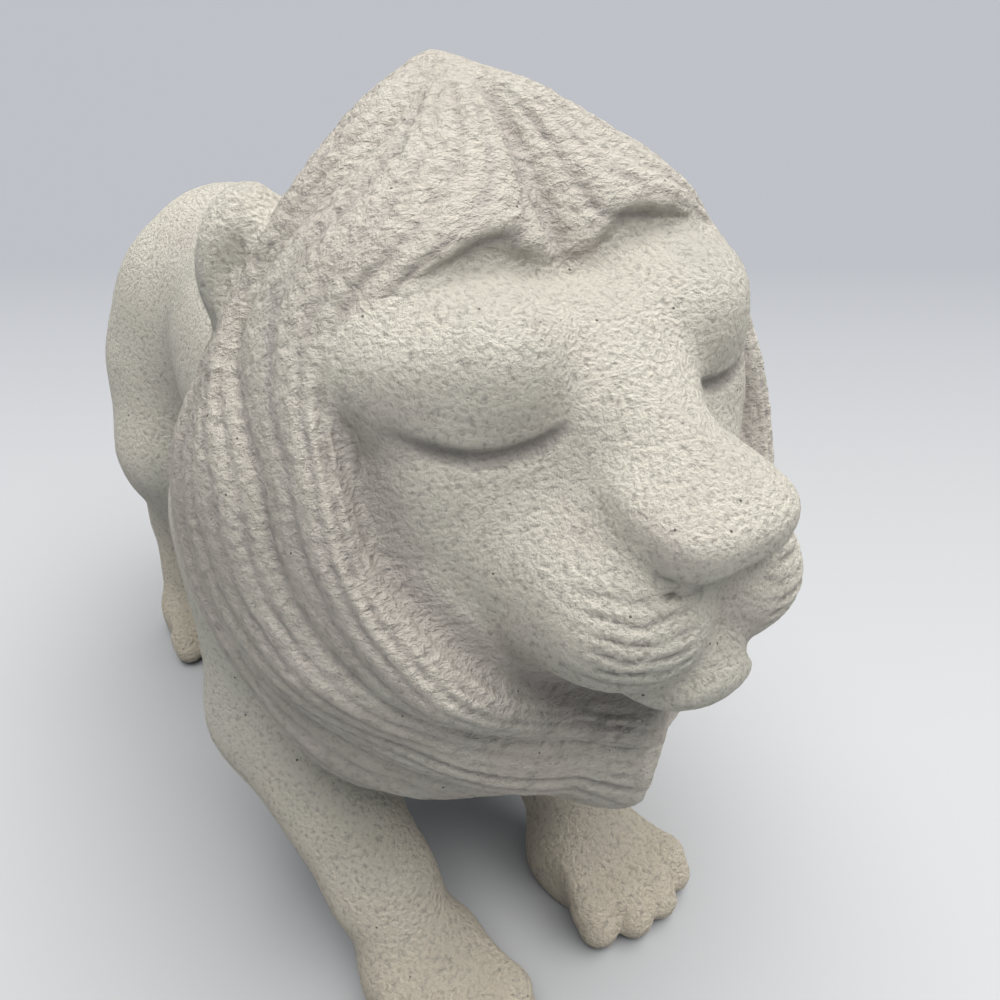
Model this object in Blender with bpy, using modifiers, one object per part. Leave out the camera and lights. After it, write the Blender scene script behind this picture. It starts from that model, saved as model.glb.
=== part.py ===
"""Standing lion, cast in one piece of pale reconstituted stone, shaped from a list of blended forms."""

import math

import bpy
import numpy as np

# Driving dimension, in metres: from the ground to the tip of the crest.
HEIGHT = 0.200

# The figure is drawn on a grid of 200 units to its height. It faces -Y, its left side is +X, the ground is z = 0.
GRID_HEIGHT = 200.0
UNIT = HEIGHT / GRID_HEIGHT
# On the drawing grid y = 0 is the middle of the mane. The finished figure is moved along Y by this much.
MANE_PLACE_Y = -45.7

# Facet sizes of the working skins, and the number of facets that the finished casting has.
FIRST_SKIN = 4.0
SECOND_SKIN = 1.9
FACETS = 9700
SOLE_HEIGHT = 0.5

# The mane as seen from the front: how far it reaches from its centre, from the crest (0 degrees) round by the
# cheek (90) to the keel under the chin (180).
MANE_CENTRE_Z = 118.0
MANE_TURN = (0, 8, 16, 25, 34, 43, 52, 62, 75, 90, 105, 120, 135, 150, 165, 180)
MANE_REACH = (82, 78.5, 75, 72.5, 70, 67.5, 66, 65, 64.5, 63.5, 64, 66.5, 71, 74, 75, 74)
# The same turn, in coarser steps, for the depth of the mane before and behind its middle, and its squareness.
DEPTH_TURN = (0, 33, 58, 90, 135, 180)
MIDDLE_Y = (11, -4, -7, -3, 0, 0)
DEPTH_FRONT = (51, 52, 46, 56, 58, 61)
DEPTH_BACK = (34, 38, 48, 60, 58, 56)
SQUARENESS = (2.0, 2.2, 2.2, 2.2, 3.0, 4.5)
KEEL_SLOPE = 0.45
KEEL_HALF_WIDTH = 13.0

# Each lock of the mane runs from the crest round the cheek to the keel, on broad tiers. Widths are degrees of turn
# round the mane from the face (0) to the nape (180).
LOCK_WIDTH = 22.5
LOCK_DEPTH = 1.1
TIER_WIDTH = 45.0
TIER_DEPTH = 1.2
KEEL_FOOT_Y = -50.0
KEEL_FOOT_Z = 60.0

# The outline of the face inside the mane, as seen from the front, and the valley round it. A tip of the mane
# dips between the brows.
FACE_CENTRE_Z = 132.0
FACE_HALF_WIDTH = 45.0
FACE_UP = 39.5
FACE_DOWN = 42.0
MANE_TIP = 7.0
MANE_TIP_HALF_WIDTH = 11.0
FACE_RIM_Y = -22.0
FACE_DOME = 26.0
VALLEY_DEPTH = 6.0
VALLEY_WIDTH = 0.12

# Centre and radii of each mass of the trunk, from the chest back to the rump, and the run of the tail.
TRUNK = (
    ((-3, 34, 108), (43, 36, 44)),
    ((-2, 70, 116), (35, 44, 40)),
    ((0, 102, 122), (26, 36, 31)),
    ((2, 129, 122), (30, 27, 32)),
)
TAIL = ((3, 150, 136), (11, 163, 110), (18, 162, 70), (21, 157, 48))
TAIL_RADII = (7.0, 5.5, 5.0, 7.5)

# Joints of each leg, and where the middle of its sole stands. The right fore paw and left hind paw are ahead.
FORE_LEGS = (
    {"shoulder": (-38, 27, 104), "elbow": (-42, 23, 54), "wrist": (-40, -16, 26), "paw": (-38, -36), "heading": -6},
    {"shoulder": (36, 28, 104), "elbow": (32, 22, 58), "wrist": (18, -7, 28), "paw": (16, -32), "heading": 2},
)
HIND_LEGS = (
    {"hip": (-17, 135, 100), "knee": (-21, 129, 76), "hock": (-20, 144, 44), "paw": (-23, 132), "heading": -3},
    {"hip": (22, 129, 100), "knee": (27, 112, 76), "hock": (29, 127, 44), "paw": (29, 112), "heading": 3},
)
FORE_RADII = {"shoulder": 20.0, "elbow": 17.5, "wrist": 12.0, "ankle": 11.5}
HIND_RADII = {"hip": 20.0, "knee": 20.0, "hock": 11.5, "ankle": 10.5}
# Half width, length and height of a paw.
FORE_PAW = (17.5, 42.0, 20.0)
HIND_PAW = (15.5, 38.0, 17.0)


def turning(turn):
    """Rotation matrix for turns about X, then Y, then Z, in degrees."""
    rx, ry, rz = (math.radians(v) for v in turn)
    about_x = np.array([[1, 0, 0], [0, math.cos(rx), -math.sin(rx)], [0, math.sin(rx), math.cos(rx)]])
    about_y = np.array([[math.cos(ry), 0, math.sin(ry)], [0, 1, 0], [-math.sin(ry), 0, math.cos(ry)]])
    about_z = np.array([[math.cos(rz), -math.sin(rz), 0], [math.sin(rz), math.cos(rz), 0], [0, 0, 1]])
    return about_z @ about_y @ about_x


def smooth_curve(knots, values, x):
    """A curve through the values that has no corner between its first and last knot."""
    knots, values = np.asarray(knots, float), np.asarray(values, float)
    slopes = np.gradient(values, knots)
    x = np.clip(x, knots[0], knots[-1])
    i = np.clip(np.searchsorted(knots, x, side="right") - 1, 0, len(knots) - 2)
    width = knots[i + 1] - knots[i]
    t = (x - knots[i]) / width
    from_start = (1 + 2 * t) * (1 - t) ** 2 * values[i] + t * (1 - t) ** 2 * width * slopes[i]
    from_end = t * t * (3 - 2 * t) * values[i + 1] + t * t * (t - 1) * width * slopes[i + 1]
    return from_start + from_end


def smooth_step(low, high, x):
    t = np.clip((x - low) / (high - low), 0.0, 1.0)
    return t * t * (3.0 - 2.0 * t)


def joined(a, b, blend):
    """Union of two distances, with a fillet of about the size of blend."""
    h = np.maximum(blend - np.abs(a - b), 0.0) / blend
    return np.minimum(a, b) - h * h * blend * 0.25


def cut(a, b, blend):
    """What is left of the solid a once b is taken out of it."""
    return -joined(-a, b, blend)


def egg(p, centre, radii, turn=(0, 0, 0), power=2.0):
    """Distance to an ellipsoid. A power above 2 fills its sides out towards a rounded box."""
    radii = np.asarray(radii, float)
    local = np.abs((p - np.asarray(centre, float)) @ turning(turn)) / radii + 1e-6
    level = (local**power).sum(1) ** (1.0 / power)
    slope = np.sqrt(((local ** (power - 1.0) / radii) ** 2).sum(1)) * level ** (1.0 - power)
    return (level - 1.0) / slope


def limb(p, start, end, start_radius, end_radius):
    """Distance to a rounded cone from start to end."""
    start, end = np.asarray(start, float), np.asarray(end, float)
    axis = end - start
    along = np.clip((p - start) @ axis / (axis @ axis), 0.0, 1.0)
    nearest = start + along[:, None] * axis
    return np.linalg.norm(p - nearest, axis=1) - (start_radius + along * (end_radius - start_radius))


def folded_over(p):
    """The same points, with the right half folded onto the left one."""
    return np.column_stack([np.abs(p[:, 0]), p[:, 1], p[:, 2]])


def mane_form(p):
    """Distance to the ball of the mane, with its crest above and its keel below, before any carving."""
    side, up = np.abs(p[:, 0]), p[:, 2] - MANE_CENTRE_Z
    turn, reach = np.degrees(np.arctan2(side, up)), np.hypot(side, up)
    outline = smooth_curve(MANE_TURN, MANE_REACH, turn)
    behind = p[:, 1] - smooth_curve(DEPTH_TURN, MIDDLE_Y, turn)
    before = smooth_curve(DEPTH_TURN, DEPTH_FRONT, turn)
    after = smooth_curve(DEPTH_TURN, DEPTH_BACK, turn)
    depth = np.where(behind < 0, before, after)
    power = smooth_curve(DEPTH_TURN, SQUARENESS, turn)
    level = ((reach / outline) ** power + (np.abs(behind) / depth + 1e-6) ** power) ** (1 / power)
    keel = KEEL_SLOPE * np.minimum(side, KEEL_HALF_WIDTH) * smooth_step(104.0, 84.0, p[:, 2])
    return (level - 1.0) * MANE_REACH[9] + keel * smooth_step(-10.0, -40.0, p[:, 1])


def strand_turn(p):
    """The lock that a point lies on, in degrees from the face to the nape. Locks fan out from the crest, sweep round the
    face as a stream does round a stone, and swing forward below the cheek to meet on the keel."""
    crest_y = MIDDLE_Y[0] * smooth_step(MANE_CENTRE_Z, GRID_HEIGHT, p[:, 2])
    keel_y = KEEL_FOOT_Y * smooth_step(MANE_CENTRE_Z, KEEL_FOOT_Z, p[:, 2])
    below_cheek = np.maximum(MANE_CENTRE_Z - p[:, 2], 0.0)
    turn = np.degrees(np.arctan2(np.hypot(p[:, 0], below_cheek), crest_y + keel_y - p[:, 1]))
    beside_face = np.maximum(face_outline(p), 1.0) ** -4.0
    return turn * (1.0 - beside_face * smooth_step(15.0, -5.0, p[:, 1]))


def face_outline(p):
    """1 on the outline of the face as seen from the front, less inside it.

    It is broad above, where a tip of the mane dips between the brows, and pointed below.
    """
    above = p[:, 2] > FACE_CENTRE_Z
    top = FACE_UP - MANE_TIP * np.exp(-((p[:, 0] / MANE_TIP_HALF_WIDTH) ** 2))
    up = np.abs(p[:, 2] - FACE_CENTRE_Z) / np.where(above, top, FACE_DOWN) + 1e-6
    power = np.where(above, 3.2, 1.65)
    side = np.abs(p[:, 0]) / FACE_HALF_WIDTH + 1e-6
    return (side**power + up**power) ** (1 / power)


def mane(p):
    """The mane with the valley round the face, its broad tiers and its locks."""
    outline = face_outline(p)
    valley = np.exp(-(((outline - 1.0) / VALLEY_WIDTH) ** 2)) + smooth_step(1.0, 0.8, outline)
    valley = VALLEY_DEPTH * np.minimum(valley, 1.6) * smooth_step(-5.0, -25.0, p[:, 1])
    turn = strand_turn(p)
    tiers = TIER_DEPTH * np.cos(2 * math.pi * turn / TIER_WIDTH)
    locks = LOCK_DEPTH * np.abs(np.sin(math.pi * turn / LOCK_WIDTH))
    away_from_crest = smooth_step(6.0, 24.0, np.hypot(p[:, 0], p[:, 1] - MIDDLE_Y[0]))
    under_the_chest = smooth_step(48.0, 62.0, p[:, 2])
    return mane_form(p) + valley + (tiers - locks) * away_from_crest * under_the_chest


def face_mass(p):
    """The broad dome of forehead and cheeks, before its features."""
    power = 3.0 - 0.9 * smooth_step(135.0, 165.0, p[:, 2])
    dome = np.abs(p[:, 1] - FACE_RIM_Y) / FACE_DOME + 1e-6
    return ((face_outline(p) ** power + dome**power) ** (1 / power) - 1.0) * FACE_DOME


def muzzle(p):
    """Bridge, nose, the two whisker pads and the chin, on points folded onto one side."""
    form = egg(p, (0, -47, 118.5), (29, 23, 19), power=2.6)
    form = joined(form, limb(p, (0, -36, 150), (0, -62, 136), 14, 10.5), 9)
    form = joined(form, egg(p, (0, -65, 136), (16, 13, 7.5), turn=(14, 0, 0), power=3.0), 5)
    pad = egg(p, (12, -61, 117.5), (15, 14.5, 13))
    chin = egg(p, (0, -63.5, 106), (15, 13, 10))
    form = joined(joined(form, pad, 5), chin, 3)
    under_nose = limb(p, (13, -70.5, 129.5), (0, -77.5, 127.5), 0.8, 1.4)
    philtrum = limb(p, (0, -80, 127), (0, -77, 113), 2.0, 1.2)
    lips = limb(p, (1, -78, 114), (13, -71, 104), 1.2, 1.6)
    mouth = limb(p, (13, -71, 104), (25, -55, 105), 1.6, 1.8)
    for groove in (under_nose, philtrum, lips, mouth):
        form = cut(form, groove, 3)
    return form


def brow(p):
    """The heavy pad over each closed eye, on points folded onto one side."""
    return egg(p, (27.5, -29.5, 156.5), (21, 14, 12.5), turn=(0, 6, 42), power=2.3)


def eye_slit(p):
    """The dark line where the pad shuts over the cheek, on points folded onto one side."""
    inner = limb(p, (15, -48, 150), (20, -46.5, 146), 0.8, 1.4)
    middle = limb(p, (20, -46.5, 146), (30, -43.5, 145.5), 1.4, 1.5)
    outer = limb(p, (30, -43.5, 145.5), (38, -37.5, 147.5), 1.5, 0.8)
    return joined(joined(inner, middle, 1), outer, 1)


def ear(p):
    """A round flap behind the swell of the mane, dished in front, on points folded onto one side."""
    flap = egg(p, (41, 14, 166), (10.5, 8, 14.5), turn=(0, -12, -20))
    return cut(flap, egg(p, (48, 3, 166), (8, 6, 10), turn=(0, -12, -20)), 3)


def head(p):
    """Mane, ears and face."""
    folded = folded_over(p)
    face = joined(face_mass(folded), muzzle(folded), 12)
    face = joined(face, brow(folded), 5)
    face = cut(face, eye_slit(folded), 2)
    hair = joined(mane(p), ear(folded), 3)
    return joined(hair, face, 2.0 + 3.0 * smooth_step(150.0, 168.0, p[:, 2]))


def trunk(p):
    """Chest, ribs, waist and rump, and the tail, which hangs against the left hind leg."""
    form = egg(p, *TRUNK[0])
    for mass in TRUNK[1:]:
        form = joined(form, egg(p, *mass), 14)
    tail = None
    for start, end, start_radius, end_radius in zip(TAIL, TAIL[1:], TAIL_RADII, TAIL_RADII[1:]):
        stretch = limb(p, start, end, start_radius, end_radius)
        tail = stretch if tail is None else joined(tail, stretch, 3)
    return joined(form, tail, 5)


def toes(size):
    """Root, knuckle, tip and radius of each of the four toes, measured from the middle of the sole."""
    half_width, length, height = size
    radius = half_width * 0.29
    runs = []
    for toe in (-1.5, -0.5, 0.5, 1.5):
        side = toe * radius * 1.7
        front = length * (0.42 if abs(toe) > 1 else 0.50)
        root = np.array([side * 0.75, 0.0, height * 0.62])
        knuckle = np.array([side, -front * 0.55, height * 0.46])
        tip = np.array([side, radius - front, radius])
        runs.append((root, knuckle, tip, radius))
    return runs


def paw(p, middle, size, heading):
    """A paw on the ground, with four long toes that bend down at the knuckle."""
    half_width, length, height = size
    turned = (p - np.array([middle[0], middle[1], 0.0])) @ turning((0, 0, heading))
    form = egg(turned, (0, 5, height * 0.38), (half_width * 0.88, length * 0.37, height * 0.60), power=2.5)
    for root, knuckle, tip, radius in toes(size):
        form = joined(form, limb(turned, root, knuckle, radius * 0.9, radius), 1.5)
        form = joined(form, limb(turned, knuckle, tip, radius, radius), 1.5)
    return form


def ankle_of(leg, back, up):
    return (leg["paw"][0], leg["paw"][1] + back, up)


def fore_leg(p, leg):
    """Shoulder, upper arm, forearm and paw."""
    r = FORE_RADII
    ankle = ankle_of(leg, 9, 13)
    form = egg(p, leg["shoulder"], (19, 25, 34))
    form = joined(form, limb(p, leg["shoulder"], leg["elbow"], r["shoulder"], r["elbow"]), 8)
    form = joined(form, limb(p, leg["elbow"], leg["wrist"], r["elbow"], r["wrist"]), 7)
    form = joined(form, limb(p, leg["wrist"], ankle, r["wrist"], r["ankle"]), 5)
    return joined(form, paw(p, leg["paw"], FORE_PAW, leg["heading"]), 5)


def hind_leg(p, leg):
    """Haunch, thigh, shank and paw."""
    r = HIND_RADII
    ankle = ankle_of(leg, 10, 12)
    form = egg(p, leg["hip"], (19, 28, 40), turn=(10, 0, 0))
    form = joined(form, limb(p, leg["hip"], leg["knee"], r["hip"], r["knee"]), 8)
    form = joined(form, limb(p, leg["knee"], leg["hock"], r["knee"], r["hock"]), 7)
    form = joined(form, limb(p, leg["hock"], ankle, r["hock"], r["ankle"]), 6)
    return joined(form, paw(p, leg["paw"], HIND_PAW, leg["heading"]), 5)


def figure(p):
    """Distance, in grid units, from each point to the whole casting. It is flat where it stands."""
    whole = trunk(p)
    for leg in FORE_LEGS:
        whole = joined(whole, fore_leg(p, leg), 9)
    for leg in HIND_LEGS:
        whole = joined(whole, hind_leg(p, leg), 9)
    whole = joined(whole, head(p), 3)
    return np.maximum(whole, -p[:, 2])


def clear_scene():
    for obj in list(bpy.data.objects):
        bpy.data.objects.remove(obj, do_unlink=True)


def add_lump(centre, radii):
    """One round lump of the rough figure."""
    bpy.ops.mesh.primitive_ico_sphere_add(subdivisions=4, radius=1.0, location=centre)
    lump = bpy.context.object
    lump.scale = radii
    return lump


def add_run(start, end, start_radius, end_radius, steps=6):
    """Lumps from start to end, close enough to be one body."""
    lumps = []
    for i in range(steps):
        t = i / (steps - 1)
        radius = start_radius + t * (end_radius - start_radius)
        centre = [a + t * (b - a) for a, b in zip(start, end)]
        lumps.append(add_lump(centre, (radius, radius, radius)))
    return lumps


def add_head_lumps():
    lumps = [add_lump((0, 2, 120), (60, 56, 64))]
    lumps.append(add_lump((0, 8, 165), (30, 28, 33)))
    lumps.append(add_lump((0, -20, 76), (30, 36, 24)))
    lumps.append(add_lump((0, -50, 117), (24, 24, 19)))
    lumps.append(add_lump((0, -58, 134), (14, 18, 12)))
    for side in (-1, 1):
        lumps.append(add_lump((side * 41, 14, 166), (10, 7, 14)))
    return lumps


def add_leg_lumps(leg, joints, radii, ankle, paw_size):
    """Lumps down a leg from joint to joint, and along each toe of its paw."""
    places = [leg[joint] for joint in joints] + [ankle]
    sizes = [radii[joint] * 0.92 for joint in joints] + [radii["ankle"] * 0.92]
    lumps = []
    for i in range(len(places) - 1):
        lumps += add_run(places[i], places[i + 1], sizes[i], sizes[i + 1])
    for root, knuckle, tip, toe_radius in toes(paw_size):
        turn = turning((0, 0, leg["heading"])).T
        place = np.array([leg["paw"][0], leg["paw"][1], 0.0])
        lumps += add_run(root @ turn + place, knuckle @ turn + place, toe_radius, toe_radius)
        lumps += add_run(knuckle @ turn + place, tip @ turn + place, toe_radius, toe_radius)
    heel = (leg["paw"][0], leg["paw"][1] + 4, 8)
    return lumps + add_run(ankle, heel, sizes[-1], sizes[-1])


def rough_figure(collection):
    """All lumps as one object named lion."""
    lumps = add_head_lumps()
    lumps += [add_lump(centre, radii) for centre, radii in TRUNK]
    for start, end, start_radius, end_radius in zip(TAIL, TAIL[1:], TAIL_RADII, TAIL_RADII[1:]):
        lumps += add_run(start, end, start_radius, end_radius)
    for leg in FORE_LEGS:
        lumps += add_leg_lumps(leg, ("shoulder", "elbow", "wrist"), FORE_RADII, ankle_of(leg, 9, 13), FORE_PAW)
    for leg in HIND_LEGS:
        lumps += add_leg_lumps(leg, ("hip", "knee", "hock"), HIND_RADII, ankle_of(leg, 10, 12), HIND_PAW)
    for lump in lumps:
        lump.select_set(True)
    bpy.context.view_layer.objects.active = lumps[0]
    bpy.ops.object.join()
    bpy.ops.object.transform_apply(location=True, rotation=True, scale=True)
    lion = bpy.context.object
    lion.name = "lion"
    for old in list(lion.users_collection):
        old.objects.unlink(lion)
    collection.objects.link(lion)
    return lion


def apply_modifiers(obj):
    depsgraph = bpy.context.evaluated_depsgraph_get()
    mesh = bpy.data.meshes.new_from_object(obj.evaluated_get(depsgraph))
    old = obj.data
    obj.modifiers.clear()
    obj.data = mesh
    bpy.data.meshes.remove(old)


def new_skin(obj, facet_size):
    """The object's mesh again, as one even skin."""
    remesh = obj.modifiers.new("skin", "REMESH")
    remesh.mode = "VOXEL"
    remesh.voxel_size = facet_size
    apply_modifiers(obj)


def points_of(mesh):
    flat = np.empty(len(mesh.vertices) * 3, np.float32)
    mesh.vertices.foreach_get("co", flat)
    return flat.reshape(-1, 3).astype(float)


def set_points(mesh, points):
    mesh.vertices.foreach_set("co", points.astype(np.float32).ravel())
    mesh.update()


def press_onto_form(mesh, rounds, reach):
    """Move the mesh's points down the slope of the distance, until they lie on the figure."""
    points = points_of(mesh)
    step = 0.25
    for _ in range(rounds):
        here = figure(points)
        slope = np.empty_like(points)
        for axis in range(3):
            ahead = points.copy()
            ahead[:, axis] += step
            slope[:, axis] = (figure(ahead) - here) / step
        steepness = np.maximum((slope**2).sum(1), 0.2)
        move = -(here / steepness)[:, None] * slope
        length = np.linalg.norm(move, axis=1)
        points += move * np.minimum(1.0, reach / np.maximum(length, 1e-9))[:, None]
    set_points(mesh, points)


def thin_out(obj, facets):
    """Fewer and larger facets, the largest where the form is plainest."""
    present = sum(len(polygon.vertices) - 2 for polygon in obj.data.polygons)
    decimate = obj.modifiers.new("thin_out", "DECIMATE")
    decimate.ratio = facets / present
    apply_modifiers(obj)


def stone():
    """Pale, matt reconstituted stone."""
    material = bpy.data.materials.new("stone")
    material.use_nodes = True
    shader = material.node_tree.nodes["Principled BSDF"]
    shader.inputs["Base Color"].default_value = (0.62, 0.58, 0.50, 1.0)
    shader.inputs["Roughness"].default_value = 0.9
    shader.inputs["Metallic"].default_value = 0.0
    return material


def build_lion():
    clear_scene()
    collection = bpy.data.collections.new("lion_statue")
    bpy.context.scene.collection.children.link(collection)
    lion = rough_figure(collection)
    new_skin(lion, FIRST_SKIN)
    press_onto_form(lion.data, rounds=8, reach=3.0)
    new_skin(lion, SECOND_SKIN)
    press_onto_form(lion.data, rounds=5, reach=1.5)
    thin_out(lion, FACETS)

    points = points_of(lion.data)
    points[points[:, 2] < SOLE_HEIGHT, 2] = 0.0
    points[:, 1] += MANE_PLACE_Y
    set_points(lion.data, points * UNIT)
    lion.data.materials.clear()
    lion.data.materials.append(stone())
    lion.data.shade_smooth()


build_lion()
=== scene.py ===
# %% [markdown]
# A small lion, cast in one piece of pale stone.
#
# The real thing is a shelf ornament about twenty centimetres high. A mould gave it its broad
# forms, and the carving of the first model gave it strands of mane, whisker creases and toes. The
# imported frame already holds the broad forms as one solid. This lesson puts a finer skin over that
# solid, carves it, and gives it the look of cast stone.
#
# We start from the frame, and keep the box of the solid, so that at the end the skin can be kept
# inside it.

# %% Load the frame
import math

import bmesh
import bpy
import numpy as np
from mathutils import Matrix, Vector, noise


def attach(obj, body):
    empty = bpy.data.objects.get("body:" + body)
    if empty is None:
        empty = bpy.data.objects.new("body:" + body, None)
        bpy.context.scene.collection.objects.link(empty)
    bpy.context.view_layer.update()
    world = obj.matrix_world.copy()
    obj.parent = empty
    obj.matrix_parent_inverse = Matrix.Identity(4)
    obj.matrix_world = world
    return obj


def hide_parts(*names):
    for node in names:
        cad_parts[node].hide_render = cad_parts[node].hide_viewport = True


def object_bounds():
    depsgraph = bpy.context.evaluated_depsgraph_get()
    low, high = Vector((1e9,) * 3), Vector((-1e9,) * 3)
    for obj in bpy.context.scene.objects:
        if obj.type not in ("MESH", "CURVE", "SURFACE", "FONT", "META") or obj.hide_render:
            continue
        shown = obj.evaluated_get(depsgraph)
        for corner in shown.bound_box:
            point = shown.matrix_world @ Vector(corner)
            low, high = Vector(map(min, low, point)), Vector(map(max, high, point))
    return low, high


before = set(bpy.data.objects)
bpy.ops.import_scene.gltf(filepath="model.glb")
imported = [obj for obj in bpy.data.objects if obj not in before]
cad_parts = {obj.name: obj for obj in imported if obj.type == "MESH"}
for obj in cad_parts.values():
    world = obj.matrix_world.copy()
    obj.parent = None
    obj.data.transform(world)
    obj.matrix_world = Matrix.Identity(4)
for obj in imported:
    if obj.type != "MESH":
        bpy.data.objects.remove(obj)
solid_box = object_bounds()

print("solid", [[round(value, 4) for value in corner] for corner in solid_box])

# %% [markdown]
# The lion is drawn on a grid of its own: 200 units from the ground to the tip of the crest, y = 0
# at the middle of the mane, the face towards -Y. One unit is then one millimetre, which keeps
# every size easy to picture. The height is that of the solid, and MANE_PLACE_Y is where the middle
# of the mane stands in the frame.

# %% The drawing grid
HEIGHT = 0.200
GRID_HEIGHT = 200.0
UNIT = HEIGHT / GRID_HEIGHT
MANE_PLACE_Y = -45.7
SHIFT = np.array([0.0, MANE_PLACE_Y, 0.0])


def to_frame(place):
    """A place on the drawing grid, in the frame's metres."""
    return Vector((np.asarray(place, float) + SHIFT) * UNIT)


print("one unit is", UNIT, "m")

# %% [markdown]
# The photo was taken from close by, a little above and from the lion's right. On a pinhole camera
# that is 37 degrees round from the front and 30 degrees down. We give the camera its axes
# directly, which leaves no room for a roll.

# %% Camera
ROUND_FROM_FRONT, DOWN = math.radians(37), math.radians(30)
EYE = (-113.3, -159.4, 220.3)
camera_data = bpy.data.cameras.new("camera")
camera_data.lens = 36.0
camera_data.sensor_width = 36.0
camera_data.clip_start = 0.01
camera = bpy.data.objects.new("camera", camera_data)
bpy.context.scene.collection.objects.link(camera)
right = Vector((math.cos(ROUND_FROM_FRONT), -math.sin(ROUND_FROM_FRONT), 0.0))
level_ahead = Vector((math.sin(ROUND_FROM_FRONT), math.cos(ROUND_FROM_FRONT), 0.0))
ahead = level_ahead * math.cos(DOWN) - Vector((0, 0, 1)) * math.sin(DOWN)
up = right.cross(ahead)
camera.matrix_world = Matrix((right, up, -ahead)).transposed().to_4x4()
camera.location = to_frame(EYE)
bpy.context.scene.camera = camera
print("camera at", [round(value, 3) for value in camera.location])

# %% [markdown]
# Cast stone shows its carving best in soft light from above: the tops of the brows are bright, the
# hollows go grey and no hard shadow crosses the face. A lamp with a wide angle, as far away as the
# sky, does that and lights floor and lion evenly. The world adds a little cool light from the
# sides, and no more, so that the chin stays in shade.

# %% Soft light
SKY_COLOR = (0.86, 0.92, 1.0, 1.0)
SKY_STRENGTH = 0.36
scene = bpy.context.scene
scene.view_settings.view_transform = "Standard"
world = bpy.data.worlds.new("studio")
world.use_nodes = True
world.node_tree.nodes["Background"].inputs["Color"].default_value = SKY_COLOR
world.node_tree.nodes["Background"].inputs["Strength"].default_value = SKY_STRENGTH
scene.world = world


def sky_lamp(name, direction, width, power, color):
    """A lamp far away in the given direction, as wide as the angle in degrees."""
    data = bpy.data.lights.new(name, "SUN")
    data.angle = math.radians(width)
    data.energy = power
    data.color = color
    lamp = bpy.data.objects.new(name, data)
    lamp.rotation_euler = Vector(direction).to_track_quat("Z", "Y").to_euler()
    scene.collection.objects.link(lamp)


sky_lamp(
    "ceiling_light",
    direction=(0.10, -0.14, 1.0),
    width=76.0,
    power=6.7,
    color=(1.0, 0.98, 0.945),
)
print("lamps", [light.name for light in bpy.data.lights])

# %% [markdown]
# The floor is a plain pale sheet. Towards the back it is painted greyer, as painted shade where
# less light falls. It is stage, not part of the lion. It is big enough to fill the picture. A mix
# node has several sockets with the same name, so its colours are reached by their numbers.

# %% Floor
FLOOR_WIDTH = 12.0
FLOOR_NEAR = (0.33, 0.337, 0.348, 1.0)
FLOOR_FAR_SHADE = (0.212, 0.221, 0.242, 1.0)
TO_THE_BACK = (0.6, 0.8, 0.0)
FADE_LENGTH = 0.50
MIX_FIRST, MIX_SECOND, MIX_RESULT = 6, 7, 2
bpy.ops.mesh.primitive_plane_add(size=FLOOR_WIDTH, location=(0, 0, 0))
floor = bpy.context.object
floor.name = "floor"
floor_paint = bpy.data.materials.new("floor_paint")
floor_paint.use_nodes = True
floor_nodes, floor_links = floor_paint.node_tree.nodes, floor_paint.node_tree.links
floor_place = floor_nodes.new("ShaderNodeTexCoord")
floor_far = floor_nodes.new("ShaderNodeVectorMath")
floor_far.operation = "DOT_PRODUCT"
floor_far.inputs[1].default_value = TO_THE_BACK
floor_fade = floor_nodes.new("ShaderNodeMapRange")
floor_fade.inputs["From Min"].default_value = 0.0
floor_fade.inputs["From Max"].default_value = FADE_LENGTH
floor_color = floor_nodes.new("ShaderNodeMix")
floor_color.data_type = "RGBA"
# Towards the back the floor takes its far colour, which is painted shade.
floor_color.inputs[MIX_FIRST].default_value = FLOOR_NEAR
floor_color.inputs[MIX_SECOND].default_value = FLOOR_FAR_SHADE
floor_shader = floor_nodes["Principled BSDF"]
floor_shader.inputs["Roughness"].default_value = 0.95
floor_shader.inputs["Specular IOR Level"].default_value = 0.1
floor_links.new(floor_place.outputs["Object"], floor_far.inputs[0])
floor_links.new(floor_far.outputs["Value"], floor_fade.inputs["Value"])
floor_links.new(floor_fade.outputs["Result"], floor_color.inputs["Factor"])
floor_links.new(floor_color.outputs[MIX_RESULT], floor_shader.inputs["Base Color"])
floor.data.materials.append(floor_paint)
print("floor ready")

# %% [markdown]
# Now the forms. Each is a function that gives the distance from any point to the form: below zero
# inside, above zero outside. Such functions can be blended, so a leg grows out of the trunk with a
# fillet and no seam, and a crease is a thin form taken out of a thick one. Sculpting by hand would
# give the same shapes, but could not be repeated.
#
# First a turn and two smooth curves. Where a form fades in over a stretch of X, Y or Z, a pair of
# numbers says where the fade starts and where it is complete, and smooth_step takes the pair.

# %% Turns and smooth curves
def turning(turn):
    """Rotation matrix for turns about X, then Y, then Z, in degrees."""
    (cx, sx), (cy, sy), (cz, sz) = (
        (math.cos(angle), math.sin(angle)) for angle in map(math.radians, turn)
    )
    about_x = np.array([[1, 0, 0], [0, cx, -sx], [0, sx, cx]])
    about_y = np.array([[cy, 0, sy], [0, 1, 0], [-sy, 0, cy]])
    about_z = np.array([[cz, -sz, 0], [sz, cz, 0], [0, 0, 1]])
    return about_z @ about_y @ about_x


def smooth_curve(knots, values, x):
    """A curve through the values that has no corner between its first and last knot."""
    knots, values = np.asarray(knots, float), np.asarray(values, float)
    slopes = np.gradient(values, knots)
    x = np.clip(x, knots[0], knots[-1])
    i = np.clip(np.searchsorted(knots, x, side="right") - 1, 0, len(knots) - 2)
    width = knots[i + 1] - knots[i]
    t = (x - knots[i]) / width
    from_start = (1 + 2 * t) * (1 - t) ** 2 * values[i] + t * (1 - t) ** 2 * width * slopes[i]
    from_end = t * t * (3 - 2 * t) * values[i + 1] + t * t * (t - 1) * width * slopes[i + 1]
    return from_start + from_end


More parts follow.
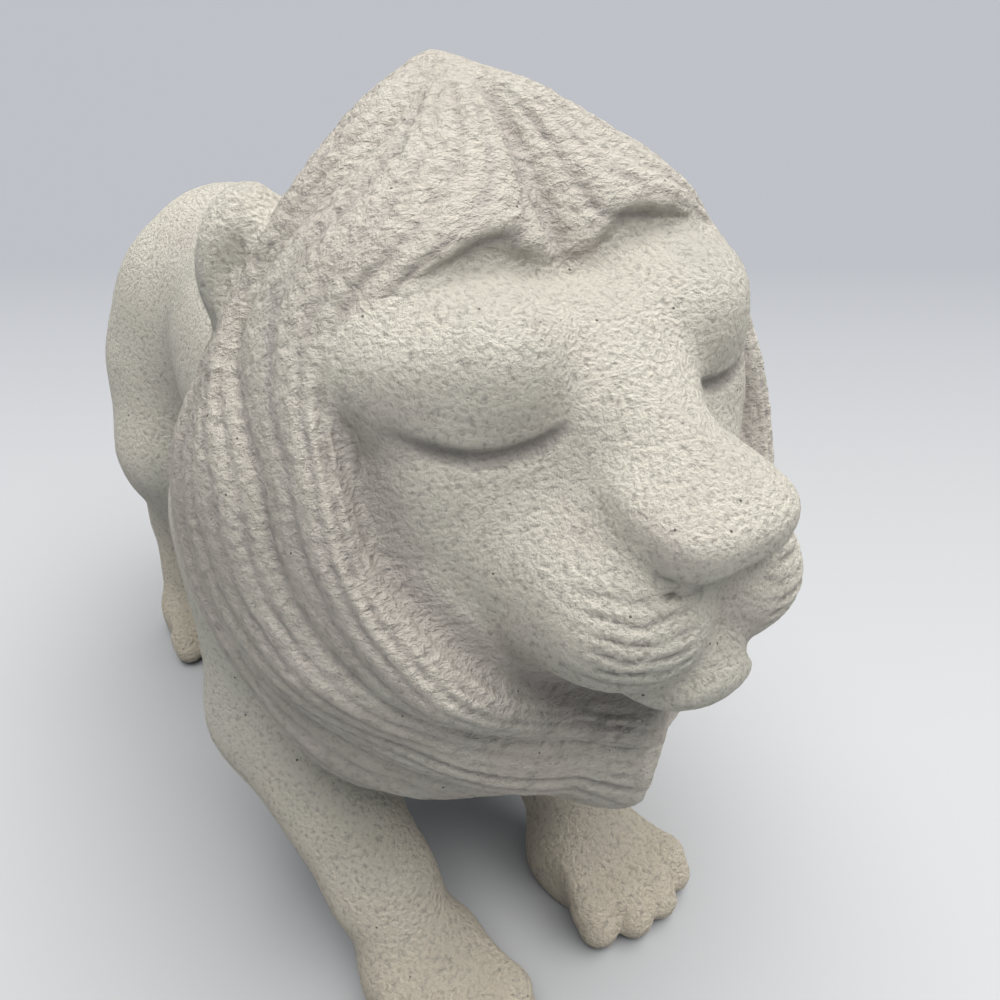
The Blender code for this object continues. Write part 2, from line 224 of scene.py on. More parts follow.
def smooth_step(start, complete, x):
    """0 before start and 1 past complete, which may lie on either side of start."""
    t = np.clip((x - start) / (complete - start), 0.0, 1.0)
    return t * t * (3.0 - 2.0 * t)


print("half way up a smooth step:", smooth_step(0.0, 10.0, 5.0))

# %% [markdown]
# The rest of the tools are a union with a fillet, a cut, and the two shapes that nearly everything
# is made of, an egg and a limb. TINY keeps a power or a division away from zero.

# %% Blended forms
TINY = 1e-6


def joined(a, b, blend):
    """Union of two distances, with a fillet of about the size of blend."""
    h = np.maximum(blend - np.abs(a - b), 0.0) / blend
    return np.minimum(a, b) - h * h * blend * 0.25


def cut(a, b, blend):
    """What is left of the solid a once b is taken out of it."""
    return -joined(-a, b, blend)


def egg(p, centre, radii, turn=(0, 0, 0), power=2.0):
    """Distance to an ellipsoid. A power above 2 fills its sides out towards a rounded box."""
    radii = np.asarray(radii, float)
    local = np.abs((p - np.asarray(centre, float)) @ turning(turn)) / radii + TINY
    level = (local**power).sum(1) ** (1.0 / power)
    slope = np.sqrt(((local ** (power - 1.0) / radii) ** 2).sum(1)) * level ** (1.0 - power)
    return (level - 1.0) / slope


def limb(p, start, end, start_radius, end_radius):
    """Distance to a rounded cone from start to end."""
    start, end = np.asarray(start, float), np.asarray(end, float)
    axis = end - start
    along = np.clip((p - start) @ axis / (axis @ axis), 0.0, 1.0)
    from_axis = np.linalg.norm(p - (start + along[:, None] * axis), axis=1)
    return from_axis - (start_radius + along * (end_radius - start_radius))


def folded_over(p):
    """The same points, with the right half folded onto the left one."""
    return np.column_stack([np.abs(p[:, 0]), p[:, 1], p[:, 2]])


centre = np.zeros((1, 3))
print("from the middle of a ball of 5 to its skin:", egg(centre, (0, 0, 0), (5, 5, 5)).round(2))

# %% [markdown]
# The mane is a ball that is taller than it is wide, pointed at the crest and drawn together into a
# keel under the chin. Seen from the front it is a curve of reach against turn, from the crest (0
# degrees) round the cheek (90) to the keel (180). Its depth and squareness vary round the same
# turn. A few knots on a curve give a fuller, truer outline here than a heap of eggs would.

# %% The ball of the mane
MANE_CENTRE_Z = 118.0
MANE_TURN = (0, 8, 16, 25, 34, 43, 52, 62, 75, 90, 105, 120, 135, 150, 165, 180)
MANE_REACH = (82, 78.5, 75, 72.5, 70, 67.5, 66, 65, 64.5, 63.5, 64, 66.5, 71, 74, 75, 74)
CHEEK_REACH = MANE_REACH[MANE_TURN.index(90)]
DEPTH_TURN = (0, 33, 58, 90, 135, 180)
MIDDLE_Y = (11, -4, -7, -3, 0, 0)
DEPTH_FRONT = (51, 52, 46, 56, 58, 61)
DEPTH_BACK = (34, 38, 48, 60, 58, 56)
SQUARENESS = (2.0, 2.2, 2.2, 2.2, 3.0, 4.5)
KEEL_SLOPE = 0.45
KEEL_HALF_WIDTH = 13.0
KEEL_FADE_Y = (-10.0, -40.0)
KEEL_FADE_Z = (104.0, 84.0)


def mane_form(p):
    """Distance to the ball of the mane, with its crest and keel, before any carving."""
    side, up = np.abs(p[:, 0]), p[:, 2] - MANE_CENTRE_Z
    turn, reach = np.degrees(np.arctan2(side, up)), np.hypot(side, up)
    outline = smooth_curve(MANE_TURN, MANE_REACH, turn)
    behind = p[:, 1] - smooth_curve(DEPTH_TURN, MIDDLE_Y, turn)
    before = smooth_curve(DEPTH_TURN, DEPTH_FRONT, turn)
    after = smooth_curve(DEPTH_TURN, DEPTH_BACK, turn)
    depth = np.where(behind < 0, before, after)
    power = smooth_curve(DEPTH_TURN, SQUARENESS, turn)
    level = ((reach / outline) ** power + (np.abs(behind) / depth + TINY) ** power) ** (1 / power)
    keel = KEEL_SLOPE * np.minimum(side, KEEL_HALF_WIDTH) * smooth_step(*KEEL_FADE_Z, p[:, 2])
    return (level - 1.0) * CHEEK_REACH + keel * smooth_step(*KEEL_FADE_Y, p[:, 1])


print("mane", 2 * CHEEK_REACH, "wide at the cheeks")

# %% [markdown]
# The face lies in the mane like a mask. Its outline is broad above, where a tip of the mane dips
# between the brows, and pointed below. A power says how broad: the higher it is, the squarer the
# outline. Several forms need this one outline, so it is a function by itself.

# %% The outline of the face
FACE_CENTRE_Z = 132.0
FACE_HALF_WIDTH = 45.0
FACE_UP = 39.5
FACE_DOWN = 42.0
FACE_POWER_ABOVE = 3.2
FACE_POWER_BELOW = 1.65
MANE_TIP = 7.0
MANE_TIP_HALF_WIDTH = 11.0
VALLEY_WIDTH = 0.12


def face_outline(p):
    """1 on the outline of the face as seen from the front, less inside it, more outside it."""
    above = p[:, 2] > FACE_CENTRE_Z
    top = FACE_UP - MANE_TIP * np.exp(-((p[:, 0] / MANE_TIP_HALF_WIDTH) ** 2))
    up = np.abs(p[:, 2] - FACE_CENTRE_Z) / np.where(above, top, FACE_DOWN) + TINY
    power = np.where(above, FACE_POWER_ABOVE, FACE_POWER_BELOW)
    side = np.abs(p[:, 0]) / FACE_HALF_WIDTH + TINY
    return (side**power + up**power) ** (1 / power)


def on_outline(outline):
    """1 on the outline of the face, and fading to 0 on both sides of it."""
    return np.exp(-(((outline - 1.0) / VALLEY_WIDTH) ** 2))


print("face", 2 * FACE_HALF_WIDTH, "wide and", FACE_UP + FACE_DOWN, "high")

# %% [markdown]
# A second turn says which lock of hair a point lies on, from the face to the nape. Above the cheek
# the locks fan out from the crest. Below it they swing forward and meet on the keel, as combed
# hair would. In between, the face parts them as a stone parts a stream, so the innermost lock hugs
# its outline.
#
# With that turn, one wave makes the broad tiers and another the locks. A valley runs round the
# face and goes on under it, so that the face lies in a dish.

# %% Locks, tiers and valley
CREST_Y = MIDDLE_Y[0]
CREST_KNOT = (6.0, 24.0)
KEEL_FOOT_Y = -50.0
KEEL_FOOT_Z = 60.0
FACE_PULL = 4.0
FACE_PULL_FADE_Y = (15.0, -5.0)
LOCK_WIDTH = 22.5
LOCK_DEPTH = 1.1
TIER_WIDTH = 45.0
TIER_DEPTH = 1.2
VALLEY_DEPTH = 6.0
VALLEY_FADE_Y = (-5.0, -25.0)
INSIDE_FACE = (1.0, 0.8)
DISH_UNDER_FACE = 1.6
CHEST_FADE_Z = (48.0, 62.0)


def strand_turn(p):
    """The lock that a point lies on, in degrees from the face (0) to the nape (180)."""
    crest_y = CREST_Y * smooth_step(MANE_CENTRE_Z, GRID_HEIGHT, p[:, 2])
    keel_y = KEEL_FOOT_Y * smooth_step(MANE_CENTRE_Z, KEEL_FOOT_Z, p[:, 2])
    below_cheek = np.maximum(MANE_CENTRE_Z - p[:, 2], 0.0)
    turn = np.degrees(np.arctan2(np.hypot(p[:, 0], below_cheek), crest_y + keel_y - p[:, 1]))
    beside_face = np.maximum(face_outline(p), 1.0) ** -FACE_PULL
    return turn * (1.0 - beside_face * smooth_step(*FACE_PULL_FADE_Y, p[:, 1]))


def from_crest(p):
    """0 at the crest, where all locks meet, and 1 where they can be told apart."""
    return smooth_step(*CREST_KNOT, np.hypot(p[:, 0], p[:, 1] - CREST_Y))


def mane(p):
    """The mane with the valley round the face, its broad tiers and its locks."""
    outline = face_outline(p)
    valley = on_outline(outline) + smooth_step(*INSIDE_FACE, outline)
    valley = VALLEY_DEPTH * np.minimum(valley, DISH_UNDER_FACE)
    valley = valley * smooth_step(*VALLEY_FADE_Y, p[:, 1])
    turn = strand_turn(p)
    tiers = TIER_DEPTH * np.cos(2 * math.pi * turn / TIER_WIDTH)
    locks = LOCK_DEPTH * np.abs(np.sin(math.pi * turn / LOCK_WIDTH))
    above_chest = smooth_step(*CHEST_FADE_Z, p[:, 2])
    return mane_form(p) + valley + (tiers - locks) * from_crest(p) * above_chest


print("locks on each side of the mane:", round(180 / LOCK_WIDTH))

# %% [markdown]
# The features are built once, on points folded onto the left side, so both sides agree. The muzzle
# is a bridge, a nose, two whisker pads and a chin, with four grooves: under the nose, down the
# middle, under the lips and along the mouth. Each is one egg or limb, placed by its middle or its
# ends, so a feature can be moved by itself.

# %% Muzzle
def muzzle(p):
    """Bridge, nose, the two whisker pads and the chin, on points folded onto one side."""
    form = egg(p, (0, -47, 118.5), (29, 23, 19), power=2.6)
    bridge = limb(p, (0, -36, 150), (0, -62, 136), 14, 10.5)
    nose = egg(p, (0, -65, 136), (16, 13, 7.5), turn=(14, 0, 0), power=3.0)
    pad = egg(p, (12, -61, 117.5), (15, 14.5, 13))
    chin = egg(p, (0, -63.5, 106), (15, 13, 10))
    for mass, blend in ((bridge, 9), (nose, 5), (pad, 5), (chin, 3)):
        form = joined(form, mass, blend)
    under_nose = limb(p, (13, -70.5, 129.5), (0, -77.5, 127.5), 0.8, 1.4)
    philtrum = limb(p, (0, -80, 127), (0, -77, 113), 2.0, 1.2)
    lips = limb(p, (1, -78, 114), (13, -71, 104), 1.2, 1.6)
    mouth = limb(p, (13, -71, 104), (25, -55, 105), 1.6, 1.8)
    for groove in (under_nose, philtrum, lips, mouth):
        form = cut(form, groove, blend=3)
    return form


NOSE_TIP = np.array([[0.0, -78.0, 137.0]])
print("the tip of the nose is", abs(muzzle(NOSE_TIP))[0].round(1), "from the muzzle")

# %% [markdown]
# Forehead and cheeks are one broad dome, and a heavy pad closes each eye. What is left of the eye,
# the slit under the pad, is cut later with the other carving. The ears are round flaps behind the
# swell of the mane, dished in front. Above the brows the face flows more softly into the mane.

# %% Face, ears and head
FACE_RIM_Y = -22.0
FACE_DOME = 26.0
DOME_POWER = 3.0
FOREHEAD_ROUNDING = 0.9
FOREHEAD_FADE_Z = (135.0, 165.0)
EAR_TURN = (0, -12, -20)
FACE_BLEND = 2.0
FOREHEAD_BLEND = 5.0
FOREHEAD_BLEND_FADE_Z = (150.0, 168.0)


def face_mass(p):
    """The broad dome of forehead and cheeks, before its features."""
    power = DOME_POWER - FOREHEAD_ROUNDING * smooth_step(*FOREHEAD_FADE_Z, p[:, 2])
    dome = np.abs(p[:, 1] - FACE_RIM_Y) / FACE_DOME + TINY
    return ((face_outline(p) ** power + dome**power) ** (1 / power) - 1.0) * FACE_DOME


def brow(p):
    """The heavy pad over each closed eye, on points folded onto one side."""
    return egg(p, (27.5, -29.5, 156.5), (21, 14, 12.5), turn=(0, 6, 42), power=2.3)


def ear(p):
    """A round flap with a dish in front, on points folded onto one side."""
    flap = egg(p, (41, 14, 166), (10.5, 8, 14.5), turn=EAR_TURN)
    dish = egg(p, (48, 3, 166), (8, 6, 10), turn=EAR_TURN)
    return cut(flap, dish, blend=3)


def face(p):
    """The dome with its features, on points folded onto one side."""
    return joined(joined(face_mass(p), muzzle(p), blend=12), brow(p), blend=5)


def head(p):
    """Mane, ears and face."""
    folded = folded_over(p)
    hair = joined(mane(p), ear(folded), blend=3)
    softer = (FOREHEAD_BLEND - FACE_BLEND) * smooth_step(*FOREHEAD_BLEND_FADE_Z, p[:, 2])
    return joined(hair, face(folded), FACE_BLEND + softer)


print("the tip of the nose is", abs(head(NOSE_TIP))[0].round(1), "from the head")

# %% [markdown]
# The trunk is four masses in a row. The tail hangs down behind the left hind leg. It is a chain of
# limbs from root to tip, which follows a bend as well as a swept tube would, and blends with the
# rump as a tube would not.

# %% Trunk and tail
TRUNK = (
    ((-3, 34, 108), (43, 36, 44)),
    ((-2, 70, 116), (35, 44, 40)),
    ((0, 102, 122), (26, 36, 31)),
    ((2, 129, 122), (30, 27, 32)),
)
TAIL = ((3, 150, 136), (11, 163, 110), (18, 162, 70), (21, 157, 48))
TAIL_RADII = (7.0, 5.5, 5.0, 7.5)


def trunk(p):
    """Chest, ribs, waist and rump, and the tail."""
    form = egg(p, *TRUNK[0])
    for mass in TRUNK[1:]:
        form = joined(form, egg(p, *mass), blend=14)
    tail = None
    for start, end, start_radius, end_radius in zip(TAIL, TAIL[1:], TAIL_RADII, TAIL_RADII[1:]):
        stretch = limb(p, start, end, start_radius, end_radius)
        tail = stretch if tail is None else joined(tail, stretch, blend=3)
    return joined(form, tail, blend=5)


print("masses in the trunk:", len(TRUNK))

# %% [markdown]
# Each paw has four long toes that bend down at the knuckle. The sizes of a paw are its half width,
# length and height, and those of its toes are shares of them, so a fore paw and a hind paw come
# from one function.

# %% Paws
FORE_PAW = (17.5, 42.0, 20.0)
HIND_PAW = (15.5, 38.0, 17.0)
TOE_RADIUS = 0.29
TOE_SPACING = 1.7
INNER_TOE_REACH = 0.50
OUTER_TOE_REACH = 0.42


def toes(size):
    """Root, knuckle, tip and radius of each of the four toes, from the middle of the sole."""
    half_width, length, height = size
    radius = half_width * TOE_RADIUS
    runs = []
    for toe in (-1.5, -0.5, 0.5, 1.5):
        side = toe * radius * TOE_SPACING
        front = length * (OUTER_TOE_REACH if abs(toe) > 1 else INNER_TOE_REACH)
        root = (side * 0.75, 0.0, height * 0.62)
        knuckle = (side, -front * 0.55, height * 0.46)
        tip = (side, radius - front, radius)
        runs.append((root, knuckle, tip, radius))
    return runs


def paw(p, middle, size, heading):
    """A paw on the ground, turned by its heading in degrees."""
    half_width, length, height = size
    turned = (p - np.array([middle[0], middle[1], 0.0])) @ turning((0, 0, heading))
    back = (half_width * 0.88, length * 0.37, height * 0.60)
    form = egg(turned, (0, 5, height * 0.38), back, power=2.5)
    for root, knuckle, tip, radius in toes(size):
        form = joined(form, limb(turned, root, knuckle, radius * 0.9, radius), blend=1.5)
        form = joined(form, limb(turned, knuckle, tip, radius, radius), blend=1.5)
    return form


print("a toe of the fore paw is", round(2 * FORE_PAW[0] * TOE_RADIUS, 1), "thick")

# %% [markdown]
# A leg is an upper mass, a limb from each joint to the next, and a paw. The lion stands in a step,
# so every leg has joints of its own, and a change of pose is a change of these places alone.

# %% Legs and the whole figure
FORE_LEGS = (
    {
        "shoulder": (-38, 27, 104), "elbow": (-42, 23, 54), "wrist": (-40, -16, 26),
        "paw": (-38, -36), "heading": -6,
    },
    {
        "shoulder": (36, 28, 104), "elbow": (32, 22, 58), "wrist": (18, -7, 28),
        "paw": (16, -32), "heading": 2,
    },
)
HIND_LEGS = (
    {
        "hip": (-17, 135, 100), "knee": (-21, 129, 76), "hock": (-20, 144, 44),
        "paw": (-23, 132), "heading": -3,
    },
    {
        "hip": (22, 129, 100), "knee": (27, 112, 76), "hock": (29, 127, 44),
        "paw": (29, 112), "heading": 3,
    },
)
FORE_RADII = {"shoulder": 20.0, "elbow": 17.5, "wrist": 12.0, "ankle": 11.5}
HIND_RADII = {"hip": 20.0, "knee": 20.0, "hock": 11.5, "ankle": 10.5}


def ankle_of(leg, back, up):
    """The ankle, behind the middle of the sole and above the ground."""
    return (leg["paw"][0], leg["paw"][1] + back, up)


def with_limbs(form, p, places, radii, blends):
    """The form with a limb from each place to the next."""
    for start, end, start_radius, end_radius, blend in zip(
        places, places[1:], radii, radii[1:], blends
    ):
        form = joined(form, limb(p, start, end, start_radius, end_radius), blend)
    return form


def fore_leg(p, leg):
    """Shoulder, upper arm, forearm and paw."""
    form = egg(p, leg["shoulder"], (19, 25, 34))
    places = (leg["shoulder"], leg["elbow"], leg["wrist"], ankle_of(leg, back=9, up=13))
    form = with_limbs(form, p, places, tuple(FORE_RADII.values()), blends=(8, 7, 5))
    return joined(form, paw(p, leg["paw"], FORE_PAW, leg["heading"]), blend=5)


def hind_leg(p, leg):
    """Haunch, thigh, shank and paw."""
    form = egg(p, leg["hip"], (19, 28, 40), turn=(10, 0, 0))
    places = (leg["hip"], leg["knee"], leg["hock"], ankle_of(leg, back=10, up=12))
    form = with_limbs(form, p, places, tuple(HIND_RADII.values()), blends=(8, 7, 6))
    return joined(form, paw(p, leg["paw"], HIND_PAW, leg["heading"]), blend=5)


def body(p):
    """Trunk and legs."""
    form = trunk(p)
    for leg in FORE_LEGS:
        form = joined(form, fore_leg(p, leg), blend=9)
    for leg in HIND_LEGS:
        form = joined(form, hind_leg(p, leg), blend=9)
    return form


def figure(p):
    """Distance, in grid units, from each point to the whole casting. It is flat underneath."""
    return np.maximum(joined(body(p), head(p), blend=3), -p[:, 2])


soles = np.array([[leg["paw"][0], leg["paw"][1], 0.0] for leg in FORE_LEGS + HIND_LEGS])
print("distance of the four soles from the form:", figure(soles).round(2))

# %% [markdown]
# The new skin starts as a copy of the solid, remade with even facets of a little over three
# millimetres. A remesh is the quickest way to even facets, but it rounds every crease, so the
# points are then moved back onto the form, down the slope of the distance.

# %% Even skin
SKIN_FACET = 3.3
PRESS_ROUNDS = 3
PRESS_REACH = 1.0
SLOPE_STEP = 0.25
LEAST_STEEPNESS = 0.2


def points_of(mesh):
    flat = np.empty(len(mesh.vertices) * 3, np.float32)
    mesh.vertices.foreach_get("co", flat)
    return flat.reshape(-1, 3).astype(float)


def set_points(mesh, points):
    mesh.vertices.foreach_set("co", points.astype(np.float32).ravel())
    mesh.update()


def press_onto_form(mesh):
    """Move the mesh's points down the slope of the distance, until they lie on the figure."""
    points = points_of(mesh)
    for _ in range(PRESS_ROUNDS):
        here = figure(points)
        slope = np.empty_like(points)
        for axis in range(3):
            ahead_of = points.copy()
            ahead_of[:, axis] += SLOPE_STEP
            slope[:, axis] = (figure(ahead_of) - here) / SLOPE_STEP
        steepness = np.maximum((slope**2).sum(1), LEAST_STEEPNESS)
        move = -(here / steepness)[:, None] * slope
        length = np.linalg.norm(move, axis=1)
        points += move * np.minimum(1.0, PRESS_REACH / np.maximum(length, TINY))[:, None]
    set_points(mesh, points)


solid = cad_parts["lion"]
skin_mesh = solid.data.copy()
skin_mesh.name = "lion_skin"
skin_mesh.materials.clear()
set_points(skin_mesh, points_of(skin_mesh) / UNIT - SHIFT)
skin = bpy.data.objects.new("carved_lion", skin_mesh)
scene.collection.objects.link(skin)
remesh = skin.modifiers.new("even_facets", "REMESH")
remesh.mode = "VOXEL"
remesh.voxel_size = SKIN_FACET
remade = skin.evaluated_get(bpy.context.evaluated_depsgraph_get())
even = bpy.data.meshes.new_from_object(remade)
skin.modifiers.clear()
skin.data = even
press_onto_form(even)
print("even facets:", len(even.polygons))

# %% [markdown]
# The head and the paws are divided once, and the front of the head twice, because that is where
# the carving is fine. Fine facets everywhere would take more than 200,000 triangles, and the legs
# have nothing to show for them. The new points are moved onto the form in their turn.

# %% Finer facets where the carving is fine
NEAR_HEAD = 2.5
NAPE_Y = 62.0
PAW_TOP_Z = 24.0
FINE_KEEL_Z = 50.0


def divide(mesh, wanted):
    """Split in four each facet whose middle the function wanted picks."""
    edit = bmesh.new()
    edit.from_mesh(mesh)
    picked = wanted(np.array([facet.calc_center_median() for facet in edit.faces]))
    edges = {edge for facet, yes in zip(edit.faces, picked) if yes for edge in facet.edges}
    bmesh.ops.subdivide_edges(edit, edges=list(edges), cuts=1, use_grid_fill=True)
    edit.to_mesh(mesh)
    edit.free()


def is_head_or_paw(p):
    return (head(p) < NEAR_HEAD) & (p[:, 1] < NAPE_Y) | (p[:, 2] < PAW_TOP_Z)


def is_front_of_head(p):
    return (head(p) < NEAR_HEAD) & (p[:, 1] < 0.0) & (p[:, 2] > FINE_KEEL_Z)


divide(even, is_head_or_paw)
divide(even, is_front_of_head)
press_onto_form(even)
print("triangles", sum(len(polygon.vertices) - 2 for polygon in even.polygons))

# %% [markdown]
# Now the carving, as a depth to be cut from each point. Strands run along the locks of the mane,
# three to a lock, and wander a little, as a hand would cut them. They stay off the face, the ears
# and the body, so we first need to know how much of each point is hair.

# %% Strands of the mane
STRAND_WIDTH = LOCK_WIDTH / 3
STRAND_DEPTH = 0.8
STRAND_WANDER = 1.2
KEEL_EDGE = (0.5, 4.0)
KEEL_RIDGE_FADE_Z = (100.0, 110.0)
VALLEY_EDGE = (1.0, 1.12)
VALLEY_EDGE_FADE_Y = (-10.0, 0.0)


def crumb(p, size, stretch=(1.0, 1.0, 1.0)):
    """Smooth random value, about -1 to 1, that changes over the given size in grid units."""
    scaled = p / (size * np.asarray(stretch))
    return np.array([noise.noise(Vector(place)) for place in scaled])


def hair_share(p):
    """1 on the mane, 0 on face, ears and body."""
    hair = mane(p)
    off_face = smooth_step(-0.4, 0.8, face(folded_over(p)) - hair)
    off_ear = smooth_step(0.0, 2.0, ear(folded_over(p)) - hair)
    off_body = smooth_step(-2.0, 1.0, body(p) - hair)
    return off_face * off_ear * off_body


def strands(p):
    """How deep the strands are cut, less on the ridge of the keel and in the valley."""
    turn = strand_turn(p) + STRAND_WANDER * crumb(p, 14.0)
    groove = (1.0 - np.abs(np.sin(math.pi * turn / STRAND_WIDTH))) ** 1.3
    uneven = 0.8 + 0.5 * crumb(p, 9.0)
    above_keel = smooth_step(*KEEL_RIDGE_FADE_Z, p[:, 2])
    off_keel = np.maximum(smooth_step(*KEEL_EDGE, np.abs(p[:, 0])), above_keel)
    behind_valley = smooth_step(*VALLEY_EDGE_FADE_Y, p[:, 1])
    off_valley = np.maximum(smooth_step(*VALLEY_EDGE, face_outline(p)), behind_valley)
    return STRAND_DEPTH * uneven * groove * from_crest(p) * off_keel * off_valley


points = points_of(even)
folded = folded_over(points)
hair = hair_share(points)
strand_cuts = strands(points)
print("hair on", hair.mean().round(2), "of the points")

# %% [markdown]
# A line parts the hair above the forehead. It is cut with the strands and wanders as they do.

# %% The parting
PARTING_X = 1.5
PARTING_WANDER = 1.2
PARTING_HALF_WIDTH = 1.4
PARTING_FADE_Y = (0.0, -8.0)
PARTING_FADE_Z = (170.0, 176.0)


def parting(p):
    """Depth of the line that parts the mane, from the crest down to the forehead."""
    off_line = p[:, 0] + PARTING_X - PARTING_WANDER * np.sin(p[:, 2] / 5.0)
    in_front = smooth_step(*PARTING_FADE_Y, p[:, 1]) * smooth_step(*PARTING_FADE_Z, p[:, 2])
    return np.exp(-((off_line / PARTING_HALF_WIDTH) ** 2)) * in_front


hair_cuts = hair * (strand_cuts + parting(points))
print("deepest cut in the hair:", hair_cuts.max().round(2))

# %% [markdown]
# Creases curve round each whisker pad, where the whiskers of a live lion would root. They are a
# wave of height, bent up a little at both ends, and a high power makes it narrow creases with
# broad ridges between them. They fade out at the edges of the pad.

# %% Whisker creases
WHISKER_SPACING = 3.1
WHISKER_LEVEL = 124.2
WHISKER_DEPTH = 0.75
WHISKER_BEND = 0.012
PAD_MIDDLE_X = 17.0
PAD_INNER_FADE_X = (6.0, 12.0)
PAD_OUTER_FADE_X = (28.0, 23.0)
PAD_FADE_Y = (-58.0, -63.0)
PAD_LOW_FADE_Z = (110.5, 113.0)
PAD_HIGH_FADE_Z = (129.5, 127.5)


def whisker_creases(p):
    """Depth of the creases round the front of each pad, on points folded onto one side."""
    level = p[:, 2] - WHISKER_BEND * (p[:, 0] - PAD_MIDDLE_X) ** 2 + 0.7 * crumb(p, 6.0)
    wave = 0.5 + 0.5 * np.cos(2 * math.pi * (level - WHISKER_LEVEL) / WHISKER_SPACING)
    across = smooth_step(*PAD_INNER_FADE_X, p[:, 0]) * smooth_step(*PAD_OUTER_FADE_X, p[:, 0])
    upright = smooth_step(*PAD_LOW_FADE_Z, p[:, 2]) * smooth_step(*PAD_HIGH_FADE_Z, p[:, 2])
    return WHISKER_DEPTH * wave**6 * across * upright * smooth_step(*PAD_FADE_Y, p[:, 1])


whisker_cuts = whisker_creases(folded)
print("deepest whisker crease:", whisker_cuts.max().round(2))

# %% [markdown]
# The slit of each shut eye lies under its brow. It follows a line across the face, and is cut as a
# depth, like the creases, which keeps its edges soft and its ends fine.

# %% Shut eyes
SLIT_X = (14, 20, 25, 30, 36, 44)
SLIT_Z = (150.0, 146.6, 145.6, 145.6, 147.0, 150.5)
SLIT_HALF_WIDTH = 1.3
SLIT_DEPTH = 1.8
SLIT_FADE_Y = (-20.0, -30.0)


def eye_slit(p):
    """Depth of the slit where the brow shuts over the cheek, on points folded onto one side."""
    off_line = (p[:, 2] - smooth_curve(SLIT_X, SLIT_Z, p[:, 0])) / SLIT_HALF_WIDTH
    inner = smooth_step(SLIT_X[0], SLIT_X[1], p[:, 0])
    outer = smooth_step(SLIT_X[-1], SLIT_X[-2], p[:, 0])
    in_front = smooth_step(*SLIT_FADE_Y, p[:, 1])
    return SLIT_DEPTH * np.exp(-(off_line**2)) * (inner * outer) * in_front


slit_cuts = eye_slit(folded) * (1.0 - hair)
print("deepest part of the slits:", slit_cuts.max().round(2))

# %% [markdown]
# The stone itself is crumbly: coarse on the mane, fine on the face, and nearly smooth on the legs,
# where the mould was worn. The bump of the material doesn't show on an edge, so a part of the
# grain is cut into the skin itself, with the creases. The soles stay flat.

# %% Cut the carving
GRAIN_DEPTH = 0.03
GRAIN_ON_HEAD = 0.08
GRAIN_ON_HAIR = 0.08
FINE_GRAIN = 1.4
COARSE_GRAIN = 2.4
COARSE_STRETCH = (1.7, 1.0, 0.9)
SOLE_Z = 0.5
on_head = smooth_step(2.0, -1.0, head(points) - body(points))
grain_depth = GRAIN_DEPTH + GRAIN_ON_HEAD * on_head + GRAIN_ON_HAIR * hair
coarse = hair * crumb(points, COARSE_GRAIN, COARSE_STRETCH)
grain = grain_depth * (1.0 + crumb(points, FINE_GRAIN) + coarse)
creases = hair_cuts + whisker_cuts + slit_cuts
normals = np.empty(len(even.vertices) * 3, np.float32)
even.vertices.foreach_get("normal", normals)
carved = points - (creases + grain)[:, None] * normals.reshape(-1, 3)
carved[points[:, 2] < SOLE_Z, 2] = 0.0
print("deepest carving", (creases + grain).max().round(2))

# %% [markdown]
# The carved points go back to metres and stay inside the solid's box. Two values are kept on each
# point for the material: how much of it is mane, and how deep it lies in a hollow, which the
# material paints darker as painted shade. The hollows are the creases of the carving, the slit of
# each eye among them, and the valley round the face.

# %% Finish the skin
VALLEY_SHADE = 0.8
HOLLOW_FADE_Y = (-20.0, -28.0)
HOLLOW_FADE_Z = (165.0, 150.0)
low, high = (np.array(corner) for corner in solid_box)
set_points(even, np.clip((carved + SHIFT) * UNIT, low, high))
# The valley round the face and the creases make the mask for painted shade in the hollows.
valley = on_outline(face_outline(points)) * smooth_step(*HOLLOW_FADE_Y, points[:, 1])
valley_shade = VALLEY_SHADE * valley * smooth_step(*HOLLOW_FADE_Z, points[:, 2])
hollow_shade = np.clip(creases / STRAND_DEPTH, 0.0, 1.0) + valley_shade


def keep_value(name, values):
    attribute = even.attributes.new(name, "FLOAT", "POINT")
    attribute.data.foreach_set("value", values.astype(np.float32))


keep_value("hair", hair)
keep_value("hollow_shade", np.clip(hollow_shade, 0.0, 1.0))
even.shade_smooth()
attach(skin, "root")
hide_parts("lion")
print("skin from", [round(float(value), 4) for value in points_of(even).min(0)])

# %% [markdown]
# The stone is built from nodes, and a few helpers keep that short. Its surface is a fine noise
# mixed with a share of crumbs: each crumb is a cell round a random point, high in the middle and
# low at its rim. Sizes in the stone are in metres.

# %% Noise and crumbs
stone = bpy.data.materials.new("cast_stone")
stone.use_nodes = True
nodes, links = stone.node_tree.nodes, stone.node_tree.links
shader = nodes["Principled BSDF"]
shader.inputs["Roughness"].default_value = 0.92
shader.inputs["Specular IOR Level"].default_value = 0.2
place = nodes.new("ShaderNodeTexCoord").outputs["Object"]


def drawn_out(size, stretch):
    """The place on the lion in units of the given size, longer along the axes stretch names."""
    mapping = nodes.new("ShaderNodeMapping")
    mapping.inputs["Scale"].default_value = [1.0 / (size * factor) for factor in stretch]
    links.new(place, mapping.inputs["Vector"])
    return mapping.outputs["Vector"]


def clouds(size, detail, stretch=(1.0, 1.0, 1.0)):
    """Soft noise, 0 to 1."""
    texture = nodes.new("ShaderNodeTexNoise")
    texture.inputs["Scale"].default_value = 1.0
    texture.inputs["Detail"].default_value = detail
    texture.inputs["Roughness"].default_value = 0.7
    links.new(drawn_out(size, stretch), texture.inputs["Vector"])
    return texture.outputs["Fac"]


def cells(size, stretch=(1.0, 1.0, 1.0)):
    """Distance from the nearest random point: 0 in the middle of a crumb, nearly 1 between."""
    texture = nodes.new("ShaderNodeTexVoronoi")
    texture.inputs["Scale"].default_value = 1.0
    links.new(drawn_out(size, stretch), texture.inputs["Vector"])
    return texture.outputs["Distance"]


print("nodes so far:", len(nodes))

